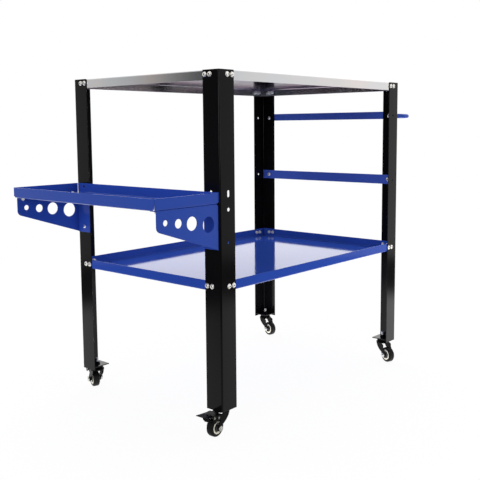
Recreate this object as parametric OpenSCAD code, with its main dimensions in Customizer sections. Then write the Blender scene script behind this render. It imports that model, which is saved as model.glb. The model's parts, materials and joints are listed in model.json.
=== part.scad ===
// Mobile welding table.
// A zinc-plated pan top and a blue lower shelf bolt into four black angle legs.
// A blue side tray hangs outside the left legs on two brackets with graded tool holes.
// Two blue rails tie the right legs, and a round push handle stands out from the upper one.
// Each leg ends in a plate that carries a swivel caster. The two left casters have brakes.
// Left is -X (the tray), right is +X (the handle), front is -Y, and the floor is z = 0.

/* [Frame] */
// Length over the legs, from the tray side to the handle side
frame_l = 914; // [760:1:1100]
// Width over the legs, from front to back
frame_w = 610; // [500:1:760]
// Length of a leg
leg_h = 914; // [860:1:1000]
// Width of each leg flange, over the bend
leg_flange = 58; // [56:1:70]
// Thickness of the leg sheet
leg_t = 2; // [1.5:0.1:3]
// Outside radius of the leg bend
leg_bend = 4; // [3.2:0.1:6]

/* [Worktop] */
// Depth of the worktop's turned-down rim
top_rim = 27; // [24:1:40]
// Thickness of the worktop sheet
top_t = 2.5; // [1.5:0.1:3.5]

/* [Lower shelf] */
// Height of the shelf's underside above the leg ends
shelf_z = 328; // [250:1:390]
// Height of the shelf's turned-up rim
shelf_rim = 28; // [24:1:40]
// Thickness of the shelf sheet
shelf_t = 1.5; // [1:0.1:2.5]

/* [Side tray] */
// Reach of the tray from the leg faces
tray_reach = 228; // [210:1:260]
// Height of the tray's underside above the leg ends
tray_z = 565.5; // [540:0.5:600]
// Height of the tray walls
tray_rim = 30; // [27:0.5:40]
// Thickness of the tray sheet
tray_t = 1.5; // [1:0.1:2.5]
// Set-back of each tray end from the leg edge
tray_inset = 4; // [3:0.5:12]
// Open slit between the tray walls at a corner
tray_slit = 1.8; // [1:0.1:5]

/* [Tray brackets] */
// Thickness of the bracket sheet
bracket_t = 2; // [1.5:0.1:3]
// Gap from the tray's front face back to the bracket's outer edge
bracket_setback = 8.5; // [2:0.5:12]
// Set-back of each bracket from the end of the tray
bracket_inset = 1; // [0:0.5:4]
// Depth of a bracket at its outer edge
bracket_front_h = 51; // [46:1:54]
// Depth of a bracket at the leg
bracket_back_h = 123; // [119:0.5:130]
// Radius of the bracket's lower outer corner
bracket_corner = 15; // [8:1:24]
// Width of the flange that the bracket turns under the tray
bracket_shelf = 22; // [20:1:30]
// Diameters of the tool holes, from the outer edge to the leg
tool_holes = [15, 23.5, 36, 42];
// Distances of the tool holes from the leg face
tool_hole_x = [189.5, 146, 99, 38.5];
// Depths of the tool holes below the tray
tool_hole_drop = [32, 37.5, 42, 51];

/* [Rails and handle] */
// Height of the lower rail's middle above the leg ends
low_rail_z = 577; // [520:1:640]
// Height of the lower rail's bar
low_rail_h = 33; // [22:1:40]
// Height of the upper rail's middle above the leg ends
high_rail_z = 803; // [760:1:830]
// Height of the upper rail's bar
high_rail_h = 26; // [18:1:40]
// Thickness of both rails
rail_t = 3; // [2:0.1:5]
// Diameter of the push handle's bar
handle_d = 15; // [14:0.5:20]
// Drop of the handle and its bolts below the middle of the upper rail
handle_drop = 2; // [0:0.5:2.5]
// Reach of the push handle from the leg faces
handle_reach = 151; // [100:1:180]
// Bend radius of the push handle, at the middle of the bar
handle_bend = 26; // [16:1:45]

/* [Fasteners and leg holes] */
// Diameter of the frame bolts
bolt_d = 6; // [5:0.5:6.5]
// Diameter of a frame bolt's domed head
bolt_head_d = 14; // [12:0.5:15]
// Diameter of the smaller domed heads on the tray
tray_head_d = 10.5; // [9.5:0.5:13]
// Height of a domed head
bolt_head_h = 4; // [3.5:0.5:6]
// Width across the flats of the socket in a domed head
socket_flats = 4; // [3:0.5:5]
// Diameter of a nut's flange
nut_flange_d = 13; // [12:0.5:15]
// Width across the flats of a nut
nut_flats = 10; // [9:0.5:11]
// Height of a nut
nut_h = 5; // [4:0.5:7]
// Diameter of the plain bolt holes
bolt_hole_d = 7; // [6.6:0.1:8]
// Distance of a bolt pair's outer bolt from the flange's free edge
pair_edge = 8; // [7.5:0.5:12]
// Distance between the two bolts of a pair
pair_pitch = 18; // [16:0.5:22]
// Distance of the single leg holes from the leg corner
single_in = 33; // [28:1:36]
// Height of the adjusting slot above the leg ends
slot_z = 590; // [586:1:598]
// Width of the adjusting slot
slot_w = 9; // [7:0.5:11]
// Length of the adjusting slot
slot_l = 19; // [16:1:24]
// Diameter of the larger tray hole in the leg
tray_hole_d = 10.5; // [8:0.5:12]
// Drop of the larger tray hole below the tray
tray_hole_drop = 17.5; // [14:0.5:24]
// Height of the lowest tray hole above the bracket's lower end
foot_hole_up = 17.5; // [14:0.5:24]
// Height of the open hole in the tray's wall above the tray's underside
wall_hole_up = 20; // [18:0.5:22]

/* [Casters] */
// Height of the leg ends above the floor
caster_h = 72; // [72:1:82]
// Diameter of a wheel
wheel_d = 52; // [46:1:54]
// Width of the tyre
wheel_w = 21; // [17:0.5:23]
// Diameter of the hub that carries the tyre
hub_d = 37; // [33:0.5:39]
// How far the hub's boss stands out past the tyre on each side
boss_out = 5; // [3:0.5:6]
// Distance of the axle behind the swivel axis
trail = 30; // [27:0.5:31]
// Headings of the wheels at rest: front left, rear left, front right, rear right
headings = [183, 69, 249, 259];
// Height of the caster plate above the leg ends
plate_z = 8; // [6:0.5:12]
// Thickness of the caster plate
plate_t = 3; // [2:0.5:5]
// Distance of the swivel axis from both leg faces
stem_in = 31; // [29:0.5:33]
// Diameter of the threaded stem
stem_d = 10; // [8:0.5:12]
// Diameter of the fork's crown
crown_d = 44; // [40:1:46]
// Thickness of the fork sheet
fork_t = 2.5; // [2:0.1:3]
// Diameter of the axle
axle_d = 8; // [6:0.5:9]
// Reach of the brake pedal from the swivel axis
pedal_reach = 84; // [78:1:90]

/* [Hidden] */
$fn = 48;

// Finishes
leg_black = [0.07, 0.07, 0.08];
paint_blue = [0.13, 0.25, 0.62];
zinc = [0.74, 0.76, 0.78];
bright_zinc = [0.86, 0.86, 0.82];
fork_black = [0.06, 0.06, 0.07];
tyre_black = [0.05, 0.05, 0.05];
hub_cream = [0.82, 0.80, 0.74];

// Clearances
run_gap = 0.05;
side_gap = 0.3;

// Corners, as steps along x and y: front left, rear left, front right, rear right
FRONT_LEFT = [0, 0];
REAR_LEFT = [0, 1];
FRONT_RIGHT = [1, 0];
REAR_RIGHT = [1, 1];
CORNERS = [FRONT_LEFT, REAR_LEFT, FRONT_RIGHT, REAR_RIGHT];
function heading(corner) = headings[2 * corner[0] + corner[1]];

// Brake lever, in the fork's plane: x runs from the swivel axis towards the axle, y is height
pedal_t = 2;
pedal_half_w = wheel_w / 2 + boss_out + side_gap + fork_t + side_gap + pedal_t;

// How far a wheel or a pedal stands out past the front (side = -1) or the back (side = 1)
tyre_shoulder = 5;
function tyre_over(corner, side) =
    side * trail * sin(heading(corner))
    + (wheel_d / 2 - tyre_shoulder) * abs(sin(heading(corner)))
    + (wheel_w / 2 - tyre_shoulder) * abs(cos(heading(corner)))
    + tyre_shoulder - stem_in;
function pedal_over(corner, side) =
    side * pedal_reach * sin(heading(corner))
    + pedal_half_w * abs(cos(heading(corner))) - stem_in;
front_over = max(bolt_head_h, tyre_over(FRONT_LEFT, -1), tyre_over(FRONT_RIGHT, -1), pedal_over(FRONT_LEFT, -1));
back_over = max(bolt_head_h, tyre_over(REAR_LEFT, 1), tyre_over(REAR_RIGHT, 1), pedal_over(REAR_LEFT, 1));

// Origin: middle of the outline on the floor, wheels and pedals included
total_l = tray_reach + frame_l + handle_reach;
total_w = front_over + frame_w + back_over;
x_left = -total_l / 2 + tray_reach;
x_right = x_left + frame_l;
y_front = -total_w / 2 + front_over;
y_back = y_front + frame_w;
leg_end_z = caster_h;
worktop_z = leg_end_z + leg_h;

// Bolt rows, measured up from the leg ends
top_bolt_z = leg_h - top_rim / 2 + 1;
shelf_bolt_z = shelf_z + shelf_rim / 2;
tray_hole_z = tray_z - tray_hole_drop;
bracket_end_z = tray_z - bracket_back_h;
foot_hole_z = bracket_end_z + foot_hole_up;
wall_hole_z = tray_z + wall_hole_up;
handle_z = high_rail_z - handle_drop;
pair = [leg_flange - pair_edge - pair_pitch, leg_flange - pair_edge];

// Pans
pan_bend = 4;
pan_corner = leg_bend - leg_t + side_gap;
top_size = [frame_l - 2 * leg_t, frame_w - 2 * leg_t];
tray_len = frame_w - 2 * tray_inset;

// Casters, heights above the floor
axle_z = wheel_d / 2;
plate_low = leg_end_z + plate_z;
crown_top = leg_end_z - 1;
crown_low = crown_top - 7;
crown_round = 5;
hub_half_w = wheel_w / 2 + boss_out;
fork_in = hub_half_w + side_gap;
fork_out = fork_in + fork_t;
pivot = [trail + 8, crown_low - 5];
pivot_boss_r = 4.5;
brake_angle = 50;
shoe_r = 3;
shoe_gap = 3.5;
shoe = [
    trail + (wheel_d / 2 + shoe_gap + shoe_r) * cos(brake_angle),
    axle_z + (wheel_d / 2 + shoe_gap + shoe_r) * sin(brake_angle)
];

// Point at t on the curve from a to c that leans towards b
function bow(a, b, c, t) = (1 - t) * (1 - t) * a + 2 * t * (1 - t) * b + t * t * c;

// Puts a leg-corner piece at a corner, mirrored so that it opens inwards
module at_corner(corner) {
    translate([corner[0] == 0 ? x_left : x_right, corner[1] == 0 ? y_front : y_back, leg_end_z])
        mirror([corner[0], 0, 0])
            mirror([0, corner[1], 0])
                children();
}

// Repeats a piece on both flanges of a leg corner
module on_both_flanges() {
    children();
    mirror([1, -1, 0]) children();
}

// Puts a caster piece on its swivel axis, turned to its heading
module at_caster(corner) {
    translate([
        corner[0] == 0 ? x_left + stem_in : x_right - stem_in,
        corner[1] == 0 ? y_front + stem_in : y_back - stem_in,
        0
    ])
        rotate([0, 0, heading(corner)])
            children();
}

// Square with one round corner at the origin
module corner_square(side, r) {
    translate([r, 0]) square([side - r, side]);
    translate([0, r]) square([side, side - r]);
    translate([r, r]) circle(r);
}

// Section of an angle leg
module angle_section() {
    difference() {
        corner_square(leg_flange, leg_bend);
        translate([leg_t, leg_t]) corner_square(leg_flange, leg_bend - leg_t);
    }
}

// Hole through the flange on the corner's x face, at a distance along y and a height
module flange_hole(along, z, d) {
    translate([-1, along, z]) rotate([0, 90, 0]) cylinder(d = d, h = leg_t + 2);
}

module leg(corner, tray_side) {
    at_corner(corner)
        difference() {
            linear_extrude(leg_h) angle_section();
            on_both_flanges() {
                for (y = pair) {
                    flange_hole(y, top_bolt_z, bolt_hole_d);
                    flange_hole(y, shelf_bolt_z, bolt_hole_d);
                }
                if (tray_side) {
                    flange_hole(single_in, foot_hole_z, bolt_hole_d);
                    flange_hole(single_in, tray_hole_z, tray_hole_d);
                    flange_hole(single_in, slot_z - (slot_l - slot_w) / 2, slot_w);
                    flange_hole(single_in, slot_z + (slot_l - slot_w) / 2, slot_w);
                    translate([-1, single_in - slot_w / 2, slot_z - (slot_l - slot_w) / 2])
                        cube([leg_t + 2, slot_w, slot_l - slot_w]);
                } else {
                    flange_hole(single_in, low_rail_z, bolt_hole_d);
                    flange_hole(single_in, handle_z, bolt_hole_d);
                }
            }
        }
}

// Pan wall with its bend, along +x from the origin, outer face on y = 0.
// The bend stops short of both ends of the wall.
module pan_wall(len, h, t, relief) {
    translate([0, 0, pan_bend]) cube([len, t, h - pan_bend]);
    translate([relief, pan_bend, pan_bend])
        rotate([0, 90, 0])
            linear_extrude(len - 2 * relief)
                intersection() {
                    difference() {
                        circle(pan_bend);
                        circle(pan_bend - t);
                    }
                    translate([0, -pan_bend]) square(pan_bend);
                }
}

// Sheet pan, floor down, its corner at the origin. The x-facing walls stop a corner's clearance short
// of both ends, and the y-facing walls stop short of them by the slit.
module pan(l, w, h, t, slit, corner) {
    translate([pan_bend, pan_bend, 0]) cube([l - 2 * pan_bend, w - 2 * pan_bend, t]);
    end_gap = max(t + slit, corner);
    for (side = [0, 1]) {
        translate([side * l, 0, 0])
            mirror([side, 0, 0])
                mirror([1, -1, 0])
                    translate([corner, 0, 0])
                        pan_wall(w - 2 * corner, h, t, pan_bend - min(corner, pan_bend));
        translate([end_gap, side * w, 0])
            mirror([0, side, 0])
                pan_wall(l - 2 * end_gap, h, t, pan_bend - min(end_gap, pan_bend));
    }
}

module table_top() {
    color(zinc)
        difference() {
            translate([x_left + leg_t, y_front + leg_t, worktop_z])
                mirror([0, 0, 1])
                    pan(top_size[0], top_size[1], top_rim, top_t, 0.5, pan_corner);
            for (corner = CORNERS)
                at_corner(corner)
                    on_both_flanges()
                        for (y = pair)
                            translate([leg_t - 1, y, top_bolt_z])
                                rotate([0, 90, 0])
                                    cylinder(d = bolt_hole_d, h = top_t + 2);
        }
}

module lower_shelf() {
    color(paint_blue)
        difference() {
            translate([x_left + leg_t, y_front + leg_t, leg_end_z + shelf_z])
                pan(top_size[0], top_size[1], shelf_rim, shelf_t, 0.5, pan_corner);
            for (corner = CORNERS)
                at_corner(corner)
                    on_both_flanges()
                        for (y = pair)
                            translate([leg_t - 1, y, shelf_bolt_z])
                                rotate([0, 90, 0])
                                    cylinder(d = bolt_hole_d, h = shelf_t + 2);
        }
}

// Places of the bolts that hold the tray down on a bracket, as distances from the leg face
bracket_len = tray_reach - bracket_setback;
floor_bolt_in = [32, 12.5];
floor_bolt_x = [floor_bolt_in[0], bracket_len - floor_bolt_in[1]];
floor_bolt_y = tray_inset + bracket_inset + bracket_shelf / 2 + 1;

module side_tray() {
    color(paint_blue)
        difference() {
            translate([x_left - tray_reach, y_front + tray_inset, leg_end_z + tray_z])
                pan(tray_reach, tray_len, tray_rim, tray_t, tray_slit, 0);
            for (corner = [FRONT_LEFT, REAR_LEFT])
                at_corner(corner) {
                    translate([-tray_t - 1, single_in, wall_hole_z])
                        rotate([0, 90, 0])
                            cylinder(d = slot_w, h = tray_t + 2);
                    for (x = floor_bolt_x)
                        translate([-x, floor_bolt_y, tray_z - 1])
                            cylinder(d = bolt_hole_d, h = tray_t + 2);
                }
        }
}

// Outline of a bracket's web: x runs out from the leg face, y is up, and the tray is at y = 0
bracket_slope = atan((bracket_back_h - bracket_front_h) / bracket_len);
bracket_corner_y = -bracket_front_h - bracket_corner * tan(bracket_slope) + bracket_corner / cos(bracket_slope);
module bracket_outline() {
    corner_x = bracket_len - bracket_corner;
    translate([corner_x, bracket_corner_y]) circle(bracket_corner);
    polygon([
        [0, -pan_bend],
        [0, -bracket_back_h],
        [
            corner_x + bracket_corner * sin(bracket_slope),
            bracket_corner_y - bracket_corner * cos(bracket_slope)
        ],
        [bracket_len, bracket_corner_y],
        [bracket_len, -pan_bend]
    ]);
}

// Flat web of the bracket with its tool holes, in the front left leg corner's own place
web_y = tray_inset + bracket_inset;
module bracket_web() {
    difference() {
        translate([0, web_y + bracket_t, tray_z])
            rotate([90, 0, 0])
                linear_extrude(bracket_t)
                    intersection() {
                        mirror([1, 0]) bracket_outline();
                        translate([-bracket_len, -2 * bracket_back_h])
                            square([bracket_len - pan_bend, 2 * bracket_back_h]);
                    }
        for (i = [0 : len(tool_holes) - 1])
            translate([-tool_hole_x[i], web_y - 1, tray_z - tool_hole_drop[i]])
                rotate([-90, 0, 0])
                    cylinder(d = tool_holes[i], h = bracket_t + 2);
    }
}

// The two flanges that the bracket's sheet turns inwards, with their bends: one lies under the tray,
// the other stands on the leg. They are drawn apart from the web, so that the space between them stays open.
module bracket_flanges() {
    difference() {
        translate([-bracket_len, web_y, tray_z])
            mirror([0, 0, 1])
                pan_wall_flat(bracket_len - pan_bend - 2, bracket_shelf);
        for (x = floor_bolt_x)
            translate([-x, floor_bolt_y, tray_z - bracket_t - 1])
                cylinder(d = bolt_hole_d, h = bracket_t + 2);
    }
    difference() {
        translate([0, web_y, bracket_end_z])
            rotate([0, 0, 90])
                upright_flange(bracket_back_h - pan_bend - 1, leg_flange - web_y);
        for (z = [foot_hole_z, tray_hole_z])
            translate([-bracket_t - 1, single_in, z])
                rotate([0, 90, 0])
                    cylinder(d = bolt_hole_d, h = bracket_t + 2);
    }
}

// Quarter bend of bracket sheet: from the y axis side round to the x axis side
module sheet_bend() {
    intersection() {
        difference() {
            circle(pan_bend);
            circle(pan_bend - bracket_t);
        }
        translate([-pan_bend, -pan_bend]) square(pan_bend);
    }
}

// Flat flange of bracket sheet with its bend, along +x, on the side of +y
module pan_wall_flat(len, w) {
    translate([0, pan_bend, pan_bend])
        rotate([90, 0, 90])
            linear_extrude(len) sheet_bend();
    translate([0, pan_bend, 0]) cube([len, w - pan_bend, bracket_t]);
}

// Upright flange of bracket sheet with its bend, along +x from the web
module upright_flange(h, w) {
    translate([pan_bend, pan_bend, 0]) linear_extrude(h) sheet_bend();
    translate([pan_bend, 0, 0]) cube([w - pan_bend, bracket_t, h]);
}

module tray_bracket(corner) {
    color(paint_blue) at_corner(corner) bracket_web();
}

module bracket_flange_pair(corner) {
    color(paint_blue) at_corner(corner) bracket_flanges();
}

// Flat rail between the right legs, at x from the leg's outer face, with its two bolt holes
module rail(x, mid_z, h, bolt_z) {
    difference() {
        translate([x_right + x, y_front + leg_bend, leg_end_z + mid_z - h / 2])
            cube([rail_t, frame_w - 2 * leg_bend, h]);
        for (corner = [FRONT_RIGHT, REAR_RIGHT])
            at_corner(corner)
                translate([-x - rail_t - 1, single_in, bolt_z])
                    rotate([0, 90, 0])
                        cylinder(d = bolt_hole_d, h = rail_t + 2);
    }
}

module lower_rail() {
    color(paint_blue) rail(-leg_t - rail_t, low_rail_z, low_rail_h, low_rail_z);
}

module upper_rail() {
    color(paint_blue) rail(0, high_rail_z, high_rail_h, handle_z);
}

// Push handle: two arms with tapped ends, two bends and the grip
handle_bore = 22;
module push_handle() {
    arm_len = handle_reach - rail_t - handle_d / 2 - handle_bend;
    grip_len = frame_w - 2 * single_in - 2 * handle_bend;
    color(paint_blue)
        for (side = [0, 1])
            translate([x_right + rail_t, (y_front + y_back) / 2, leg_end_z + handle_z])
                mirror([0, side, 0])
                    translate([0, -frame_w / 2 + single_in, 0]) {
                        difference() {
                            rotate([0, 90, 0]) cylinder(d = handle_d, h = arm_len);
                            translate([-1, 0, 0])
                                rotate([0, 90, 0])
                                    cylinder(d = bolt_d + 2 * run_gap, h = handle_bore + 1);
                        }
                        translate([arm_len, handle_bend, 0])
                            rotate([0, 0, -90])
                                rotate_extrude(angle = 90)
                                    translate([handle_bend, 0]) circle(d = handle_d);
                        translate([arm_len + handle_bend, handle_bend, 0])
                            rotate([-90, 0, 0])
                                cylinder(d = handle_d, h = grip_len / 2);
                    }
}

// Bolt with a domed head and a hexagon socket: the head stands on z = 0 towards -z, its shank runs up
head_rim = 1.2;
module dome_bolt(shank, head_d) {
    dome_r = head_d / 2 - 0.8;
    dome_h = bolt_head_h - head_rim;
    ball_r = (dome_r * dome_r + dome_h * dome_h) / 2 / dome_h;
    difference() {
        rotate_extrude() {
            translate([0, -head_rim]) square([head_d / 2, head_rim]);
            intersection() {
                translate([0, ball_r - bolt_head_h]) circle(ball_r);
                translate([0, -bolt_head_h]) square([dome_r, dome_h]);
            }
        }
        translate([0, 0, -bolt_head_h - 1])
            cylinder(d = socket_flats / cos(30), h = 1 + bolt_head_h * 0.6, $fn = 6);
    }
    cylinder(d = bolt_d, h = shank);
}

// Flange nut standing on z = 0, towards +z
module flange_nut() {
    difference() {
        union() {
            cylinder(d = nut_flange_d, h = 1.5);
            cylinder(d = nut_flats / cos(30), h = nut_h, $fn = 6);
        }
        translate([0, 0, -1]) cylinder(d = bolt_d + 2 * run_gap, h = nut_h + 2);
    }
}

// Pieces at every place of the paired bolts in one row, seated a distance inside the leg face
module at_pairs(z, depth) {
    for (corner = CORNERS)
        at_corner(corner)
            on_both_flanges()
                for (y = pair)
                    translate([depth, y, z])
                        rotate([0, 90, 0])
                            children();
}

bolt_end = 1.5;

module top_bolts() {
    color(bright_zinc) at_pairs(top_bolt_z, 0) dome_bolt(leg_t + top_t + nut_h + bolt_end, bolt_head_d);
}

module top_nuts() {
    color(bright_zinc) at_pairs(top_bolt_z, leg_t + top_t) flange_nut();
}

module shelf_bolts() {
    color(bright_zinc) at_pairs(shelf_bolt_z, 0) dome_bolt(leg_t + shelf_t + nut_h + bolt_end, bolt_head_d);
}

module shelf_nuts() {
    color(bright_zinc) at_pairs(shelf_bolt_z, leg_t + shelf_t) flange_nut();
}

// Pieces at the bolts from the brackets into the left legs
module at_bracket_bolts(depth) {
    for (corner = [FRONT_LEFT, REAR_LEFT])
        at_corner(corner)
            for (z = [foot_hole_z, tray_hole_z])
                translate([depth, single_in, z])
                    rotate([0, 90, 0])
                        children();
}

// Pieces at the bolts that hold the tray down on its brackets
module at_floor_bolts(z) {
    for (corner = [FRONT_LEFT, REAR_LEFT])
        at_corner(corner)
            for (x = floor_bolt_x)
                translate([-x, floor_bolt_y, z])
                    mirror([0, 0, 1])
                        children();
}

module tray_bolts() {
    color(bright_zinc) {
        at_bracket_bolts(-bracket_t) dome_bolt(leg_t + bracket_t + nut_h + bolt_end, tray_head_d);
        at_floor_bolts(tray_z + tray_t) dome_bolt(tray_t + bracket_t + nut_h + bolt_end, tray_head_d);
    }
}

module tray_nuts() {
    color(bright_zinc) {
        at_bracket_bolts(leg_t) flange_nut();
        at_floor_bolts(tray_z - bracket_t) flange_nut();
    }
}

// Pieces at the rail bolts, whose heads are on the inside of the right legs
module at_rail_bolts(z, depth) {
    for (corner = [FRONT_RIGHT, REAR_RIGHT])
        at_corner(corner)
            translate([depth, single_in, z])
                rotate([0, -90, 0])
                    children();
}

module rail_bolts() {
    color(bright_zinc) {
        at_rail_bolts(low_rail_z, leg_t + rail_t) dome_bolt(rail_t + leg_t + nut_h + bolt_end, bolt_head_d);
        at_rail_bolts(handle_z, leg_t) dome_bolt(leg_t + rail_t + handle_bore - 2, bolt_head_d);
    }
}

module rail_nuts() {
    color(bright_zinc) at_rail_bolts(low_rail_z, 0) flange_nut();
}

// Square plate welded into each leg end, which the caster stem goes through
module caster_plates() {
    color(leg_black)
        for (corner = CORNERS)
            at_corner(corner)
                difference() {
                    translate([leg_t, leg_t, plate_z])
                        linear_extrude(plate_t)
                            corner_square(leg_flange - leg_t, leg_bend - leg_t);
                    translate([stem_in, stem_in, plate_z - 1])
                        cylinder(d = stem_d + 2 * run_gap, h = plate_t + 2);
                }
}

// Stem nuts above the plates
stem_nut_h = 5.5;
module stem_nuts() {
    color(fork_black)
        for (corner = CORNERS)
            at_caster(corner)
                difference() {
                    translate([0, 0, plate_low + plate_t]) {
                        cylinder(d = stem_d + 10, h = 1.6);
                        cylinder(r = (stem_d + 6) / 2 / cos(30), h = stem_nut_h, $fn = 6);
                    }
                    translate([0, 0, plate_low])
                        cylinder(d = stem_d + 2 * run_gap, h = plate_t + stem_nut_h + 2);
                }
}

// Stem and fixed race of a caster, with the pivot that the fork turns on
pivot_d = 12;
module caster_head(corner) {
    rivet_low = crown_low - 2.2;
    color(fork_black)
        at_caster(corner) {
            translate([0, 0, plate_low]) cylinder(d = stem_d, h = plate_t + stem_nut_h + 2.5);
            rotate_extrude()
                polygon([
                    [0, rivet_low],
                    [pivot_d / 2 + 2.5, rivet_low],
                    [pivot_d / 2 + 2.5, crown_low - side_gap],
                    [pivot_d / 2, crown_low - side_gap],
                    [pivot_d / 2, crown_top + side_gap],
                    [crown_d / 2 - 5, crown_top + side_gap],
                    [crown_d / 2 - 3, crown_top + side_gap + 2.5],
                    [crown_d / 2 - 8, plate_low],
                    [0, plate_low]
                ]);
        }
}

// One side of the fork: a leading edge that bows down to the axle, and a trailing edge that
// stands up behind the wheel's top. A braked fork reaches out to the pedal's pivot.
back_x = crown_d / 2 + 3;
lobe_r = axle_d / 2 + 5;
module fork_side(braked) {
    top_y = crown_low + 2;
    front = [-crown_d / 2 + 10, top_y];
    knee = [-crown_d / 2 + 13, crown_low - 19];
    foot = [trail - lobe_r * cos(35), axle_z + lobe_r * sin(35)];
    steps = 8;
    difference() {
        union() {
            polygon(concat(
                [for (i = [0 : steps]) bow(front, knee, foot, i / steps)],
                [
                    [trail, axle_z],
                    [trail + lobe_r, axle_z],
                    [trail + lobe_r - 3, axle_z + 8],
                    [back_x + 2, crown_low - 16],
                    [back_x, crown_low - 12],
                    [back_x, crown_low - 3],
                    [crown_d / 2 - 9, top_y]
                ]
            ));
            translate([trail, axle_z]) circle(lobe_r);
            if (braked) {
                translate(pivot) circle(pivot_boss_r);
                polygon([
                    [crown_d / 2 - 9, crown_low - 0.5],
                    pivot + [0.5, pivot_boss_r - 0.05],
                    pivot + [3, -3.3],
                    [back_x + 2, crown_low - 16],
                    [0, crown_low - 12]
                ]);
            }
        }
        translate([trail, axle_z]) circle(d = axle_d + 2 * run_gap);
        if (braked)
            translate(pivot) circle(d = pin_d + 2 * run_gap);
    }
}

// Stands an outline of the fork's plane up, from y = from to y = to
module upright(from, to) {
    translate([0, to, 0])
        rotate([90, 0, 0])
            linear_extrude(to - from)
                children();
}

// Fork: a domed crown over two side plates
module fork(corner, braked) {
    color(fork_black)
        at_caster(corner) {
            difference() {
                rotate_extrude() {
                    translate([0, crown_low]) square([crown_d / 2, crown_top - crown_low - crown_round]);
                    square_top = crown_top - crown_round;
                    translate([0, square_top]) square([crown_d / 2 - crown_round, crown_round]);
                    intersection() {
                        translate([crown_d / 2 - crown_round, square_top]) circle(crown_round);
                        translate([0, square_top]) square([crown_d / 2, crown_round]);
                    }
                }
                translate([0, 0, crown_low - 1])
                    cylinder(d = pivot_d + 2 * run_gap, h = crown_top - crown_low + 2);
            }
            upright(fork_in, fork_out) fork_side(braked);
            upright(-fork_out, -fork_in) fork_side(braked);
        }
}

// Axle: a bolt through the fork, and its nut
axle_flats = axle_d + 5;
module axle(corner) {
    hex_r = axle_flats / 2 / cos(30);
    head_h = 5;
    axle_nut_h = 6;
    color(bright_zinc)
        at_caster(corner)
            translate([trail, 0, axle_z])
                rotate([90, 0, 0]) {
                    translate([0, 0, -fork_out]) cylinder(d = axle_d, h = 2 * fork_out + axle_nut_h + 1.5);
                    translate([0, 0, -fork_out - head_h]) cylinder(r = hex_r, h = head_h, $fn = 6);
                    translate([0, 0, fork_out])
                        difference() {
                            cylinder(r = hex_r, h = axle_nut_h, $fn = 6);
                            translate([0, 0, -1])
                                cylinder(d = axle_d + 2 * run_gap, h = axle_nut_h + 2);
                        }
                }
}

// Turns a profile, x outwards and y along the axle, about the axle
module about_axle(corner) {
    at_caster(corner)
        translate([trail, 0, axle_z])
            rotate([90, 0, 0])
                rotate_extrude($fn = 72)
                    children();
}

// Tyre: flat tread with round shoulders
module tyre(corner) {
    shoulder = tyre_shoulder;
    color(tyre_black)
        about_axle(corner)
            difference() {
                union() {
                    square([wheel_d / 2 - shoulder, wheel_w / 2]);
                    translate([0, -wheel_w / 2]) square([wheel_d / 2 - shoulder, wheel_w]);
                    translate([0, -wheel_w / 2 + shoulder]) square([wheel_d / 2, wheel_w - 2 * shoulder]);
                    for (side = [-1, 1])
                        translate([wheel_d / 2 - shoulder, side * (wheel_w / 2 - shoulder)])
                            circle(shoulder);
                }
                translate([0, -wheel_w]) square([hub_d / 2, 2 * wheel_w]);
            }
}

// Hub: rim ring, web and the boss that the axle goes through
hub_ring = 6;
web_half_w = 4;
boss_d = axle_d + 5;
module hub(corner) {
    rim_half_w = wheel_w / 2 - 0.5;
    color(hub_cream)
        about_axle(corner)
            polygon([
                [axle_d / 2 + run_gap, -hub_half_w],
                [boss_d / 2, -hub_half_w],
                [boss_d / 2, -web_half_w],
                [hub_d / 2 - hub_ring, -web_half_w],
                [hub_d / 2 - hub_ring, -rim_half_w + 1],
                [hub_d / 2 - hub_ring + 1, -rim_half_w],
                [hub_d / 2, -rim_half_w],
                [hub_d / 2, rim_half_w],
                [hub_d / 2 - hub_ring + 1, rim_half_w],
                [hub_d / 2 - hub_ring, rim_half_w - 1],
                [hub_d / 2 - hub_ring, web_half_w],
                [boss_d / 2, web_half_w],
                [boss_d / 2, hub_half_w],
                [axle_d / 2 + run_gap, hub_half_w]
            ]);
}

// Dark bearing caps, one on each side of the web
module hub_caps(corner) {
    cap_t = 3.5;
    color(tyre_black)
        for (side = [0, 1])
            about_axle(corner)
                mirror([0, side])
                    translate([boss_d / 2, web_half_w])
                        square([hub_d / 2 - hub_ring - boss_d / 2, cap_t]);
}

// Brake pedal: a ribbed tread that rises towards its end, on two ears that carry the shoe bar.
// The shoe bar presses the tyre, and a rivet through the ears holds the spring.
pin_d = 4;
tread_low = pivot[1] + pivot_boss_r + 0.8;
tread_in = crown_d / 2 + 4;
tread_bend = pivot[0] + 4;
tread_rise = 4;
rivet = pivot + [17.5, 3.5];
function tread_y(x) = tread_low + max(0, x - tread_bend) / (pedal_reach - tread_bend) * tread_rise;

module ear_outline() {
    difference() {
        union() {
            translate(pivot) circle(pivot_boss_r);
            translate(shoe) circle(shoe_r + 2);
            translate(rivet) circle(pin_d / 2 + 2);
            polygon([
                pivot + [-pivot_boss_r + 0.4, 2],
                [pivot[0] - 3, tread_low + pedal_t / 2],
                [tread_bend, tread_low + pedal_t / 2],
                [rivet[0] + 8, tread_y(rivet[0] + 8) + pedal_t / 2],
                shoe + [4.9, -0.6],
                shoe + [-2, -4.5],
                pivot + [-2.4, -3.8]
            ]);
        }
        translate(pivot) circle(d = pin_d + 2 * run_gap);
        translate(rivet) circle(d = pin_d + 2 * run_gap);
    }
}

module tread_outline() {
    polygon([
        [tread_in, tread_low],
        [tread_bend, tread_low],
        [pedal_reach, tread_y(pedal_reach)],
        [pedal_reach, tread_y(pedal_reach) + pedal_t],
        [tread_bend, tread_low + pedal_t],
        [tread_in, tread_low + pedal_t]
    ]);
}

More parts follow.
